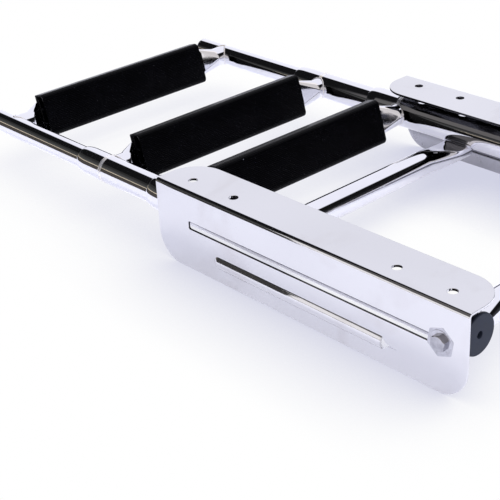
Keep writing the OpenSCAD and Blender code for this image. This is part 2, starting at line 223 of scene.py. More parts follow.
def weld_steel():
    """Bright weld metal, wire-brushed, with a straw heat tint in patches."""
    material, tree, shader = new_material("weld_steel", (0.8, 0.78, 0.75), 0.8, 0.2)
    plain = object_coords(tree)
    heat = noise(tree, plain, 130, 2)
    tone = blend(tree, remap(tree, heat, 0.45, 0.7, 0, 0.8), (0.90, 0.89, 0.90), (0.76, 0.68, 0.56))
    surface(tree, shader, tone, remap(tree, noise(tree, plain, 420, 3), 0.3, 0.7, 0.10, 0.30))
    add_bump(tree, shader, noise(tree, plain, 900, 3), 0.25, 0.0002)
    return material


def fastener_steel(name, light, dark):
    """Plain rolled and turned stainless: duller than the tubes, with worn patches."""
    material, tree, shader = new_material(name, light, 1.0, 0.3)
    plain = object_coords(tree)
    wear = noise(tree, plain, 260, 4, 0.6)
    tone = blend(tree, remap(tree, wear, 0.35, 0.7, 0, 1), light, dark)
    surface(tree, shader, tone, remap(tree, wear, 0.3, 0.7, 0.09, 0.2))
    add_bump(tree, shader, noise(tree, plain, 700, 3), 0.05, 0.0002)
    return material


def tread_black():
    """Near-black ribbed extrusion: satin sheen, fine die lines along it and a few specks of dust."""
    material, tree, shader = new_material("tread_black", (0.006, 0.006, 0.008), 0.0, 0.42)
    plain = object_coords(tree)
    die_lines = noise(tree, object_coords(tree, (900, 8, 900)), 1.5, 3)
    cloud = noise(tree, plain, 35, 4, 0.6)
    deep, pale = (0.0004, 0.0004, 0.0008), (0.0012, 0.0012, 0.0020)
    tone = blend(tree, remap(tree, cloud, 0.4, 0.75, 0, 1), deep, pale)
    dust = tree.nodes.new("ShaderNodeTexVoronoi")
    dust.inputs["Scale"].default_value = 62
    tree.links.new(plain, dust.inputs["Vector"])
    speck = remap(tree, dust.outputs["Distance"], 0.035, 0.05, 1, 0)
    pick = remap(tree, noise(tree, plain, 47, 1), 0.6, 0.62, 0, 1)
    tone = blend(tree, maths(tree, "MULTIPLY", speck, pick), tone, (0.22, 0.22, 0.25))
    surface(tree, shader, tone, remap(tree, cloud, 0.3, 0.7, 0.2, 0.3))
    shader.inputs["Specular IOR Level"].default_value = 0.045
    add_bump(tree, shader, die_lines, 0.05, 0.0002)
    return material


def plug_rubber():
    """Dark blue-grey moulded rubber with a fine matt skin and a paler bloom."""
    material, tree, shader = new_material("plug_rubber", (0.02, 0.025, 0.035), 0.0, 0.62)
    shader.inputs["Specular IOR Level"].default_value = 0.25
    plain = object_coords(tree)
    bloom = noise(tree, plain, 90, 4, 0.6)
    tone = blend(tree, remap(tree, bloom, 0.35, 0.75, 0, 1), (0.021, 0.026, 0.041), (0.034, 0.041, 0.062))
    surface(tree, shader, tone, remap(tree, bloom, 0.3, 0.7, 0.55, 0.72))
    add_bump(tree, shader, noise(tree, plain, 1500, 2), 0.2, 0.0001)
    return material


def white_nylon():
    """Off-white moulded nylon, slightly mottled."""
    material, tree, shader = new_material("white_nylon", (0.80, 0.79, 0.74), 0.0, 0.45)
    plain = object_coords(tree)
    mottle = noise(tree, plain, 160, 3)
    tone = blend(tree, remap(tree, mottle, 0.35, 0.7, 0, 1), (0.82, 0.81, 0.77), (0.74, 0.72, 0.66))
    surface(tree, shader, tone, remap(tree, mottle, 0.3, 0.7, 0.38, 0.55))
    return material


SHEET = sheet_steel()
SHEET_BACK_PAINTED_SHADE = painted_shade_sheet()
POLISHED = polished_steel()
WELD = weld_steel()
FASTENER = fastener_steel("fastener_steel", (0.46, 0.46, 0.50), (0.33, 0.33, 0.37))
WASHER = fastener_steel("washer_steel", (0.54, 0.54, 0.59), (0.40, 0.40, 0.44))
TREAD = tread_black()
RUBBER = plug_rubber()
NYLON = white_nylon()

# ---------------- mesh helpers


def add_object(name, data):
    thing = bpy.data.objects.new(name, data)
    bpy.context.scene.collection.objects.link(thing)
    return thing


def add_piece(name, part, body, material, stands_for=(), weld=0.0):
    """Makes a smooth-shaded mesh piece that rides on a body. Vertices closer than weld are joined."""
    verts, faces = part
    mesh = bpy.data.meshes.new(name)
    mesh.from_pydata([tuple(v) for v in verts], [], faces)
    mesh.validate()
    mesh.polygons.foreach_set("use_smooth", [True] * len(mesh.polygons))
    mesh.materials.append(material)
    piece = add_object(name, mesh)
    mesh.set_sharp_from_angle(angle=math.radians(50))
    normals = piece.modifiers.new("normals", "WEIGHTED_NORMAL")
    normals.keep_sharp = True
    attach(piece, body)
    if stands_for:
        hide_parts(*stands_for)
    work = bmesh.new()
    work.from_mesh(mesh)
    if weld:
        bmesh.ops.remove_doubles(work, verts=work.verts, dist=weld)
    bmesh.ops.recalc_face_normals(work, faces=work.faces)
    work.to_mesh(mesh)
    work.free()
    return piece


def join_parts(parts):
    """One list of vertices and faces from several."""
    verts, faces = [], []
    for part_verts, part_faces in parts:
        base = len(verts)
        verts += part_verts
        faces += [[i + base for i in f] for f in part_faces]
    return verts, faces


def grid_faces(rows, count, closed=True):
    """Faces between rows of count vertices. Closed rows join their last vertex to their first."""
    faces = []
    for j in range(rows - 1):
        for i in range(count if closed else count - 1):
            n = (i + 1) % count
            faces.append([j * count + i, j * count + n, (j + 1) * count + n, (j + 1) * count + i])
    return faces


def fillet(points, radius, steps=4):
    """A closed outline with its corners rounded. A point may carry its own radius as a third value."""
    rounded = []
    count = len(points)
    for i, point in enumerate(points):
        r = point[2] if len(point) > 2 else radius
        here = Vector(point[:2])
        before = Vector(points[i - 1][:2]) - here
        after = Vector(points[(i + 1) % count][:2]) - here
        if r <= 0 or min(before.length, after.length) < TINY or math.pi - before.angle(after) < 0.02:
            rounded.append(here)
            continue
        half_angle = before.angle(after) / 2
        reach = min(r / math.tan(half_angle), before.length * 0.49, after.length * 0.49)
        r = reach * math.tan(half_angle)
        centre = here + (before.normalized() + after.normalized()).normalized() * (r / math.sin(half_angle))
        start = here + before.normalized() * reach - centre
        end = here + after.normalized() * reach - centre
        turn = start.angle_signed(end)
        for k in range(steps + 1):
            angle = -turn * k / steps
            spun = Vector((
                start.x * math.cos(angle) - start.y * math.sin(angle),
                start.x * math.sin(angle) + start.y * math.cos(angle),
            ))
            rounded.append(centre + spun)
    return rounded


def ring_angles(segments):
    return [2 * math.pi * j / segments for j in range(segments)]


def polar(r, angle):
    return r * math.cos(angle), r * math.sin(angle)


def revolve(profile, place, segments=96, wobble=None):
    """Turns a closed (along, radius) outline about an axis. place(along, across, up) gives the point."""
    verts, rings = [], []
    for k, (along, radius) in enumerate(profile):
        if radius < 1e-6:
            rings.append([len(verts)])
            verts.append(place(along, 0, 0))
            continue
        rings.append(list(range(len(verts), len(verts) + segments)))
        for angle in ring_angles(segments):
            verts.append(place(along, *polar(radius + (wobble(angle, k) if wobble else 0), angle)))
    faces = []
    for k, ring in enumerate(rings):
        after = rings[(k + 1) % len(rings)]
        if len(ring) == 1 and len(after) == 1:
            continue
        for j in range(segments):
            n = (j + 1) % segments
            if len(ring) == 1:
                faces.append([ring[0], after[j], after[n]])
            elif len(after) == 1:
                faces.append([ring[j], after[0], ring[n]])
            else:
                faces.append([ring[j], after[j], after[n], ring[n]])
    return verts, faces


def on_stile(side):
    """Places a turned part on the centre line of a stile."""
    return lambda along, across, up: Vector((along, side * (STILE_Y + across), STILE_Z + up))


def on_pivot(side):
    """Places a turned part on the pivot axis. along runs outwards from the plate's outer face."""
    return lambda along, across, up: Vector((PIVOT_X + across, side * (FACE_Y + along), PIVOT_Z + up))


def turned_pair(name, profile, place_on, body, material, slot, stands_for=(), **options):
    """The same turned part on both sides, as one piece. The left one mirrors the right, so its faces turn."""
    parts = []
    for side in SIDES.values():
        verts, faces = revolve(profile, place_on(side), **options)
        parts.append((verts, [list(reversed(f)) for f in faces] if side < 0 else faces))
    add_piece(name, join_parts(parts), body, material, stands_for)


# ---------------- track brackets

SHEET_T = 2.5 * MM
BEND_R = 4.5 * MM
FLANGE = plate_high.y - plate_low.y
EDGE_R = 0.4 * MM
TOUCH = 0.0001 * MM
RIB_SOFT = 0.04 * MM
BEND_STEPS = 16
PLATE_TOP = TRACK_HEIGHT - BEND_R
BEND_END = PLATE_TOP + BEND_R * math.pi / 2
BEND_S = [PLATE_TOP + (BEND_END - PLATE_TOP) * k / BEND_STEPS for k in range(BEND_STEPS + 1)]
FLANGE_END = BEND_END + FLANGE - BEND_R
RIB_R = 9.5 * MM
RIB_DEPTH = 6.8 * MM
RIB_HALF = math.sqrt(RIB_R**2 - RIB_DEPTH**2)
RIB_START = -115 * MM
RIB_END = 106.5 * MM
RIB_UP = 22.1 * MM
RIB_STEPS = 20
NOSE_STEPS = 8
SLOT_UP = PIVOT_Z - FLOOR_Z
SLOT_HALF = 4.3 * MM
SLOT_START, SLOT_END, SLOT_CORNER = -152 * MM, 176.5 * MM, 2 * MM
HOLE_R = 4.8 * MM
HOLE_OUT = 21.3 * MM
HOLE_X = [pitch * MM / 2 for pitch in (-332, -210, 210, 332)]
PLATE_CORNER = 31 * MM
FLANGE_CORNER = 35.5 * MM


def arc(cx, cy, r, start, end, steps=14):
    angles = [math.radians(start + (end - start) * k / steps) for k in range(steps + 1)]
    return [Vector((cx + r * math.cos(a), cy + r * math.sin(a))) for a in angles]


def blank_point(x, s, depth):
    """A point of the sheet, unrolled: s runs up the plate, round the bend and out along the flange."""
    if s <= PLATE_TOP:
        return Vector((x, -FACE_Y + depth, FLOOR_Z + s))
    if s < BEND_END:
        angle = (s - PLATE_TOP) / BEND_R
        r = BEND_R - depth
        return Vector((x, -FACE_Y + BEND_R - r * math.cos(angle), FLOOR_Z + PLATE_TOP + r * math.sin(angle)))
    return Vector((x, -FACE_Y + BEND_R + s - BEND_END, FLOOR_Z + TRACK_HEIGHT - depth))


def inset_loop(loop, amount):
    """The loop moved towards the material, which lies on the left of its direction."""
    count = len(loop)
    moved = []
    for i, p in enumerate(loop):
        d = (loop[(i + 1) % count] - loop[i - 1]).normalized()
        moved.append(p + Vector((-d.y, d.x)) * amount)
    return moved


def sheet_outline():
    plate_r, flange_r = PLATE_CORNER, FLANGE_CORNER
    loop = arc(-TRACK_HALF + plate_r, plate_r, plate_r, 180, 270)
    loop += arc(TRACK_HALF - plate_r, plate_r, plate_r, 270, 360)
    loop += [Vector((TRACK_HALF, s)) for s in BEND_S]
    loop += arc(TRACK_HALF - flange_r, FLANGE_END - flange_r, flange_r, 0, 90)
    loop += arc(-TRACK_HALF + flange_r, FLANGE_END - flange_r, flange_r, 90, 180)
    loop += [Vector((-TRACK_HALF, s)) for s in reversed(BEND_S)]
    return loop


def hole_loop(points):
    """A hole runs the other way round, so that the material is on its left."""
    return list(reversed(points))


def slot_loop():
    r = SLOT_CORNER
    x0, x1 = SLOT_START + r, SLOT_END - r
    low, high = SLOT_UP - SLOT_HALF + r, SLOT_UP + SLOT_HALF - r
    corners = ((x1, low, 270), (x1, high, 0), (x0, high, 90), (x0, low, 180))
    return hole_loop([p for x, up, start in corners for p in arc(x, up, r, start, start + 90, 6)])


def rib_loop():
    """The foot of the rib and, at its open end, the mouth and the pointed slit."""
    nose = arc(RIB_START + RIB_HALF, RIB_UP, RIB_HALF, 90, 270, 24)
    mouth_low, mouth_high = 17 * MM, 24.2 * MM
    slit_up, slit_half, slit_tip = 21.5 * MM, 1.1 * MM, 124 * MM
    mouth_x = RIB_END + 5.2 * MM
    end = [
        Vector((RIB_END, RIB_UP - RIB_HALF)),
        Vector((RIB_END + 1 * MM, RIB_UP - RIB_HALF + 0.6 * MM)),
        Vector((mouth_x - 1.6 * MM, mouth_low)),
        Vector((mouth_x - 0.5 * MM, mouth_low + 0.6 * MM)),
        Vector((mouth_x, mouth_low + 2.4 * MM)),
        Vector((mouth_x + 1.5 * MM, slit_up - slit_half)),
        Vector((slit_tip - 0.6 * MM, slit_up - 0.15 * MM)),
        Vector((slit_tip, slit_up)),
        Vector((slit_tip - 0.6 * MM, slit_up + 0.15 * MM)),
        Vector((mouth_x + 1.5 * MM, slit_up + slit_half)),
        Vector((mouth_x - 0.3 * MM, mouth_high - 1.2 * MM)),
        Vector((mouth_x - 2.2 * MM, mouth_high + 1.2 * MM)),
        Vector((RIB_END, RIB_UP + RIB_HALF)),
    ]
    return hole_loop(nose + end)


def round_hole(x):
    return hole_loop(arc(x, BEND_END + HOLE_OUT - BEND_R, HOLE_R, 0, 352.5, 47))


def edge_strip(loop, point, soft=EDGE_R):
    """The rounded cut edge round one loop: its rings, from the outer face to the inner face."""
    turns = [math.radians(a) for a in (0, 30, 60, 90)]
    rings = [(soft * (1 - math.sin(a)), soft * (1 - math.cos(a))) for a in turns]
    rings += [(inset, SHEET_T - depth) for inset, depth in reversed(rings)]
    verts = [point(p.x, p.y, depth) for inset, depth in rings for p in inset_loop(loop, inset)]
    return verts, grid_faces(len(rings), len(loop))


def filled(loops, point, depth):
    """A flat face between an outline and its holes."""
    flat = [v for loop in loops for v in loop]
    faces = []
    for t in tessellate_polygon([[Vector((p.x, p.y, 0)) for p in loop] for loop in loops]):
        a, b, c = (flat[i] for i in t)
        faces.append(list(t) if (b - a).cross(c - a) > 0 else list(reversed(t)))
    return [point(p.x, p.y, depth) for p in flat], faces


def rib_point(x, turn, r):
    """A point of the rib: turn goes from its lower foot to its upper foot, about the rib's own axis."""
    return x, RIB_DEPTH - r * math.cos(turn), RIB_UP + r * math.sin(turn)


def nose_point(a, tilt, r):
    """A point of the rib's ball nose, tilted away from the plate's normal towards direction a."""
    return (RIB_START + RIB_HALF + r * math.sin(tilt) * math.cos(a), RIB_DEPTH - r * math.cos(tilt),
            RIB_UP + r * math.sin(tilt) * math.sin(a))


def rib_part(point_at):
    """The pressed rib, as a shell of the sheet's thickness: a long arc with a ball nose."""
    sweep = math.asin(RIB_HALF / RIB_R)
    turns = [-sweep + 2 * sweep * k / RIB_STEPS for k in range(RIB_STEPS + 1)]
    half_round = [math.radians(90 + 180 * k / RIB_STEPS) for k in range(RIB_STEPS + 1)]
    tilts = [sweep * j / NOSE_STEPS for j in range(NOSE_STEPS + 1)]
    inner_r = RIB_R - SHEET_T
    count = RIB_STEPS + 1
    parts = []
    for r in (RIB_R, inner_r):
        trough = [point_at(*rib_point(x, t, r)) for x in (RIB_START + RIB_HALF, RIB_END) for t in turns]
        parts.append((trough, grid_faces(2, count, False)))
        nose = [point_at(*nose_point(a, tilt, r)) for tilt in tilts for a in half_round]
        parts.append((nose, grid_faces(len(tilts), count, False)))
    rim = [point_at(*rib_point(RIB_END, t, r)) for r in (RIB_R, inner_r) for t in turns]
    return parts + [(rim, grid_faces(2, count, False))]


def bracket(side_name):
    side = SIDES[side_name]

    def mirrored(p):
        return Vector((p.x, p.y if side < 0 else -p.y, p.z))

    def point(x, s, depth):
        return mirrored(blank_point(x, s, depth))

    def plate_place(x, depth, up):
        return mirrored(Vector((x, depth - FACE_Y, FLOOR_Z + up)))

    outline, slot, rib = sheet_outline(), slot_loop(), rib_loop()
    flange_holes = [round_hole(x) for x in HOLE_X]
    parts = [edge_strip(outline, point), edge_strip(slot, point), edge_strip(rib, point, RIB_SOFT)]
    parts += [edge_strip(hole, point) for hole in flange_holes]
    edge = inset_loop(outline, EDGE_R)
    plate = [p for p in edge if p.y <= PLATE_TOP + TOUCH]
    flange = [p for p in edge if p.y >= BEND_END - TOUCH]
    half = TRACK_HALF - EDGE_R
    for depth in (0, SHEET_T):
        parts.append(filled([plate, inset_loop(slot, EDGE_R), inset_loop(rib, RIB_SOFT)], point, depth))
        parts.append(filled([flange] + [inset_loop(h, EDGE_R) for h in flange_holes], point, depth))
        bend = [point(x, s, depth) for s in BEND_S for x in (-half, half)]
        parts.append((bend, grid_faces(len(BEND_S), 2, False)))
    parts += rib_part(plate_place)
    piece = add_piece("bracket_sheet_" + side_name, join_parts(parts), "tracks", SHEET,
                      ["bracket_" + side_name], weld=0.004 * MM)
    # The back, the underside of the flange and the walls of the slot take the painted-shade material.
    piece.data.materials.append(SHEET_BACK_PAINTED_SHADE)
    for polygon in piece.data.polygons:
        polygon.material_index = int(painted_shade_face(polygon, side))


def painted_shade_face(polygon, side):
    """Whether a face of the bracket takes the painted-shade material: it belongs to its back, or to the wall
    of the slot.
    """
    depth = FACE_Y - abs(polygon.center.y)
    up = polygon.center.z - FLOOR_Z
    outward = polygon.normal.y * side
    if up > PLATE_TOP:
        return polygon.normal.z < -0.2 or (outward < -0.5 and up < BEND_END and depth > 1 * MM)
    if outward < -0.3:
        return True
    in_slot = abs(up - SLOT_UP) < SLOT_HALF + 0.1 * MM and depth > EDGE_R
    return in_slot and abs(outward) < 0.3


for side_name in SIDES:
    bracket(side_name)

# ---------------- stile tubes, collars, plugs and caps

END_R = 0.35 * MM
STILE_SEGMENTS = 128


def tube_profile(x0, x1, radius):
    inner = radius - TUBE_WALL
    return fillet([(x0, inner), (x0, radius), (x1, radius), (x1, inner)], END_R)


TUBES = {"outer_tube": "upper_section", "middle_tube": "middle_section", "lower_tube": "lower_section"}
for stem, body in TUBES.items():
    for side_name, side in SIDES.items():
        node = f"{stem}_{side_name}"
        low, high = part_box(node)
        part = revolve(tube_profile(low.x, high.x, (high.z - low.z) / 2), on_stile(side), STILE_SEGMENTS)
        add_piece(f"{node}_steel", part, body, POLISHED, [node])

RAMP = 15 * MM
LIP_WALL = 0.8 * MM
MOUTH_GAP = 0.4 * MM
RING_SEAT = 5 * MM


def collar_profile(start, end, tube_r, mouth_r):
    """The collar carries the tube on to an open mouth, which ramps down over the next tube."""
    mouth = mouth_r + MOUTH_GAP
    lip = mouth + LIP_WALL
    bore = tube_r - TUBE_WALL
    ramp = []
    for k in range(17):
        a = math.radians(90 * k / 16)
        ramp.append((start + RAMP * (1 - math.cos(a)), lip + (tube_r - lip) * math.sin(a), 0))
    ramp[0] = (start, lip, 0.3 * MM)
    points = [(start, mouth, 0.2 * MM)] + ramp
    points += [(end, tube_r, 0), (end, bore, 0), (start + RING_SEAT, bore, 0), (start + RING_SEAT, mouth, 0)]
    return fillet(points, 0)


BEAD_HALF = 2.6 * MM
BEAD_RISE = 0.4 * MM
BEAD_ROOT = 0.3 * MM
RIPPLE = 1.5 * MM


def ring_weld(name, x, radius, body):
    """A weld round a stile: three ridges side by side, with fine ripples along them."""
    steps = 24
    alongs = [BEAD_HALF * (2 * k / steps - 1) for k in range(steps + 1)]
    rises = []
    for along in alongs:
        f = along / BEAD_HALF
        rises.append(BEAD_RISE * (1 - f**4) * (0.62 + 0.38 * math.cos(3 * math.pi * f)))
    profile = [(x + along, radius + rise) for along, rise in zip(alongs, rises)]
    profile += [(x + BEAD_HALF, radius - BEAD_ROOT), (x - BEAD_HALF, radius - BEAD_ROOT)]
    count = round(2 * math.pi * radius / RIPPLE)

    def ripple(angle, k):
        if k > steps or rises[k] <= 0:
            return 0
        swell = abs(math.sin(angle * count / 2 + (alongs[k] / BEAD_HALF) ** 2))
        return -rises[k] * (0.18 * swell + 0.08 * math.sin(5 * angle + k))

    turned_pair(name, profile, on_stile, body, WELD, "polished_fitting", segments=count * 4, wobble=ripple)


for node, body, rung, tube_r, mouth_r in (
        ("outer_collars", "upper_section", "upper", OUTER_R, MIDDLE_R),
        ("middle_collars", "middle_section", "middle", MIDDLE_R, INNER_R)):
    profile = collar_profile(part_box(node)[0].x, RUNG_X[rung], tube_r, mouth_r)
    turned_pair(node + "_steel", profile, on_stile, body, POLISHED, "polished_fitting", [node],
                segments=STILE_SEGMENTS)
    ring_weld(rung + "_ring_welds", RUNG_X[rung], tube_r, body)

plug_low, plug_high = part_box("end_plugs")
PLUG_R = (plug_high.z - plug_low.z) / 2
PLUG_HOLE = 3.5 * MM
STEM_R = OUTER_R - TUBE_WALL - 0.05 * MM
PLUG_FACE = OUTER_END + 0.02 * MM
plug_profile = fillet([
    (plug_low.x, PLUG_HOLE), (plug_low.x, STEM_R, 0.8 * MM), (PLUG_FACE, STEM_R, 0),
    (PLUG_FACE, PLUG_R, 0.4 * MM), (plug_high.x, PLUG_R, 1.3 * MM), (plug_high.x, PLUG_HOLE, 0.6 * MM)],
    0.2 * MM, 6)
turned_pair("plugs_rubber", plug_profile, on_stile, "upper_section", RUBBER, "rubber_plug", ["end_plugs"])

cap_low, cap_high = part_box("foot_caps")
SKIRT_R = INNER_R - TUBE_WALL - 0.02 * MM
DOME_STEPS = 18
quarter = [math.radians(90 * k / DOME_STEPS) for k in range(DOME_STEPS + 1)]
dome = [(in_low.x - (in_low.x - cap_low.x) * math.sin(a), INNER_R * math.cos(a)) for a in quarter]
cap_profile = [(cap_high.x, 0), (cap_high.x, SKIRT_R), (in_low.x, SKIRT_R)] + dome
turned_pair("foot_caps_steel", cap_profile, on_stile, "lower_section", POLISHED, "polished_fitting",
            ["foot_caps"])

# ---------------- pressed step tubes and crossbars

LOFT_POINTS = 96
LEAN = math.radians(16)


def oval_point(half, r, f):
    """Fraction f of the way round a flat-sided oval, from the middle of its front."""
    bow = math.pi * r
    s = f * (4 * half + 2 * bow)
    if s < half:
        return r, s
    if s < half + bow:
        a = (s - half) / r
        return r * math.cos(a), half + r * math.sin(a)
    if s < 3 * half + bow:
        return -r, half - (s - half - bow)
    if s < 3 * half + 2 * bow:
        a = (s - 3 * half - bow) / r
        return -r * math.cos(a), -half - r * math.sin(a)
    return r, s - 4 * half - 2 * bow


def eased(t, ease=0.12):
    """A straight climb from 0 to 1 whose two ends are rounded."""
    t = min(max(t, 0), 1)
    slope = 1 / (1 - ease)
    if t < ease:
        return slope * t * t / (2 * ease)
    if t > 1 - ease:
        return 1 - slope * (1 - t) ** 2 / (2 * ease)
    return slope * (t - ease / 2)


def pressed_section(t, round_r, flat_r, shift, lean, spread=1.0):
    """(x, z) offsets round a tube, round at t = 0 and flat at t = 1. At spread 1 it keeps its girth."""
    r = round_r + (flat_r - round_r) * t
    half = math.pi * (round_r - r) / 2 * spread
    points = []
    for i in range(LOFT_POINTS):
        n, u = oval_point(half, r, i / LOFT_POINTS)
        n += shift * t
        points.append((n * math.cos(lean) - u * math.sin(lean), n * math.sin(lean) + u * math.cos(lean)))
    return points


def loft(rings, closed_ends=True):
    """A skin through equal rings of points, with a flat cap at each end."""
    count = len(rings[0])
    verts = [v for ring in rings for v in ring]
    faces = grid_faces(len(rings), count)
    if closed_ends:
        last = (len(rings) - 1) * count
        for base in (0, last):
            centre = len(verts)
            verts.append(sum((verts[base + i] for i in range(count)), Vector()) / count)
            for i in range(count):
                edge = [base + i, base + (i + 1) % count]
                faces.append(([edge[1], edge[0]] if base == 0 else edge) + [centre])
    return verts, faces


def coped_rings(x, z, stations, section, cope):
    """Rings along Y. At the last stations each point stops at the stile: cope(dz) gives where."""
    return [[Vector((x + dx, math.copysign(min(abs(y), cope(dz)), y), z + dz)) for dx, dz in section(t)]
            for y, t in stations]


def mirror_stations(half):
    return [(-y, t) for y, t in half] + [(y, t) for y, t in reversed(half)]


RUNG_ROUND_Y = 150.5 * MM
RUNG_FLAT_Y = 126 * MM
FLAT_R = 2.1 * MM
FLAT_N = -9.6 * MM
RUNG_MIDDLE_Y = (60 * MM, 20 * MM)
PRESS_STEPS = 30
WELD_DEPTH = 0.25 * MM
BEAD_R = 0.855 * MM
BEAD_STEP = 0.28 * MM
BEAD_WAVE = 0.22
BEAD_SIDES = 8
BEAD_UP = Vector((0.31, 0.2, 0.93))


def pressed_stations(start, end):
    """Stations from y = start to y = end, over which the pressing grows from 0 to 1."""
    return [(start + (end - start) * k / PRESS_STEPS, eased(k / PRESS_STEPS)) for k in range(PRESS_STEPS + 1)]


def rung_section(t):
    return pressed_section(t, RUNG_R, FLAT_R, FLAT_N, LEAN)


def stile_cope(tube_r):
    """Where a step tube meets the side of its stile."""
    return lambda up: STILE_Y - math.sqrt(max(tube_r * tube_r - up * up, 0)) + WELD_DEPTH


def rung_piece(name, x, tube_r):
    half = [(STILE_Y, 0)] + pressed_stations(RUNG_ROUND_Y, RUNG_FLAT_Y) + [(y, 1) for y in RUNG_MIDDLE_Y]
    rings = coped_rings(x, STILE_Z, mirror_stations(half), rung_section, stile_cope(tube_r))
    body = name + "_section"
    add_piece(name + "_rung_steel", loft(rings, False), body, POLISHED, [name + "_rung"])
    weld_seam(name + "_rung_welds", [rings[0], rings[-1]], body)


def weld_seam(name, loops, body):
    """Rippled weld beads along closed loops of points."""
    parts = []
    for loop in loops:
        count = len(loop)
        length = sum((loop[(i + 1) % count] - p).length for i, p in enumerate(loop))
        steps = max(int(length / BEAD_STEP), 24)
        path = resample(loop, steps)
        verts = []
        for i, p in enumerate(path):
            along = (path[(i + 1) % steps] - path[i - 1]).normalized()
            side = along.cross(BEAD_UP).normalized()
            up = along.cross(side).normalized()
            swell = 1 + BEAD_WAVE * abs(math.sin(math.pi * i * length / steps / RIPPLE))
            for a in ring_angles(BEAD_SIDES):
                verts.append(p + (side * math.cos(a) + up * math.sin(a)) * BEAD_R * swell)
        faces = grid_faces(steps + 1, BEAD_SIDES)
        parts.append((verts, [[i % len(verts) for i in f] for f in faces]))
    add_piece(name, join_parts(parts), body, WELD)


def resample(loop, steps):
    """Equal steps round a closed loop."""
    count = len(loop)
    lengths = [(loop[(i + 1) % count] - p).length for i, p in enumerate(loop)]
    total = sum(lengths)
    path, i, gone = [], 0, 0.0
    for k in range(steps):
        want = total * k / steps
        while i < count - 1 and gone + lengths[i] < want:
            gone += lengths[i]
            i += 1
        f = (want - gone) / max(lengths[i], TINY)
        path.append(loop[i].lerp(loop[(i + 1) % count], min(max(f, 0), 1)))
    return path


for (name, x), tube_r in zip(RUNG_X.items(), (OUTER_R, MIDDLE_R, INNER_R)):
    rung_piece(name, x, tube_r)

BAR_END_Y = bar_high.y
BAR_CUT_Y = 156 * MM
BAR_FLAT_Y = 150 * MM
BAR_ROUND_Y = 96 * MM
BAR_MIDDLE_Y = 40 * MM
BAR_SPREAD = 1.09
BAR_FLAT_R = 6.25 * MM
BAR_DROP = -1.6 * MM


def crossbar_section(t):
    return pressed_section(t, CROSSBAR_R, BAR_FLAT_R, BAR_DROP, math.pi / 2, BAR_SPREAD)


def crossbar_cope(dz):
    """The crossbar tucks under the outer tube and is cut away where the tube is."""
    up = CROSSBAR_Z + dz - STILE_Z
    return BAR_END_Y if up < -OUTER_R else min(BAR_END_Y, stile_cope(OUTER_R)(up))


for name, x in CROSSBAR_X.items():
    half = [(BAR_END_Y, 1), (BAR_CUT_Y, 1)]
    half += [(y, 1 - t) for y, t in pressed_stations(BAR_FLAT_Y, BAR_ROUND_Y)] + [(BAR_MIDDLE_Y, 0)]
    rings = coped_rings(x, CROSSBAR_Z, mirror_stations(half), crossbar_section, crossbar_cope)
    add_piece(name + "_crossbar_steel", loft(rings), "upper_section", POLISHED,
              [name + "_crossbar"])

# ---------------- treads

TREAD_FRONT = 4.3 * MM
TREAD_SEAT = -7.5 * MM
TREAD_LIP = -12.2 * MM
TREAD_BACK = -13.5 * MM
TREAD_UP = 26.5 * MM
TREAD_CORNER = 6.5 * MM
TREAD_WALL = 1.9 * MM
TREAD_SOFT = 0.35 * MM
TREAD_INSET = 8 * MM
SEAT_HALF = 19.2 * MM
LIP_HALF = 17.6 * MM
RIB_PITCH = 2.05 * MM
GROOVE = 0.22 * MM


def ribbed_front():
    """The front of a tread section, from its lower back corner round to its upper one."""
    straight = TREAD_UP - TREAD_CORNER
    bow = TREAD_CORNER * math.pi / 2
    half = straight + bow
    points = []
    steps = 2 * round(half / RIB_PITCH * 9)
    for k in range(steps + 1):
        s = -half + 2 * half * k / steps
        phase = s / RIB_PITCH % 1
        ramp = min(1, (half - abs(s)) / RIB_PITCH)
        cut = GROOVE * ramp * max(0, 1 - abs(phase - 0.5) / 0.24) ** 0.7
        if abs(s) <= straight:
            points.append(Vector((TREAD_FRONT - cut, s)))
        else:
            a = (abs(s) - straight) / TREAD_CORNER
            r = TREAD_CORNER - cut
            up = straight + r * math.sin(a)
            points.append(Vector((TREAD_FRONT - TREAD_CORNER + r * math.cos(a), math.copysign(up, s))))
    return points


def tread_outline():
    """The ribbed front, and a back with a wide seat that clips over the flattened rung."""
    upper = [
        (TREAD_FRONT - TREAD_CORNER, TREAD_UP, 0), (TREAD_BACK, TREAD_UP, 1.2 * MM),
        (TREAD_BACK, LIP_HALF, 0.5 * MM), (TREAD_LIP, LIP_HALF, 0.4 * MM),
        (TREAD_LIP, SEAT_HALF, 0.3 * MM), (TREAD_SEAT, SEAT_HALF, 0.3 * MM)]
    lower = [(ahead, -up, r) for ahead, up, r in reversed(upper)]
    return ribbed_front()[1:-1] + fillet(upper + lower, 0)


def tread_cells():
    """The three hollows that run along a tread."""
    front = TREAD_FRONT - TREAD_WALL
    seat = TREAD_SEAT + TREAD_WALL
    third = TREAD_UP / 3
    half_wall = TREAD_WALL / 2
    top = TREAD_UP - TREAD_WALL
    round_r = TREAD_CORNER - TREAD_WALL
    edge = third - half_wall
    middle = fillet([(seat, -edge), (front, -edge), (front, edge), (seat, edge)], 0.6 * MM)
    upper = fillet([(seat, third + half_wall), (front, third + half_wall), (front, top, round_r),
                    (seat, top)], 0.6 * MM)
    lower = [Vector((p.x, -p.y)) for p in reversed(upper)]
    return [list(middle), list(upper), lower]


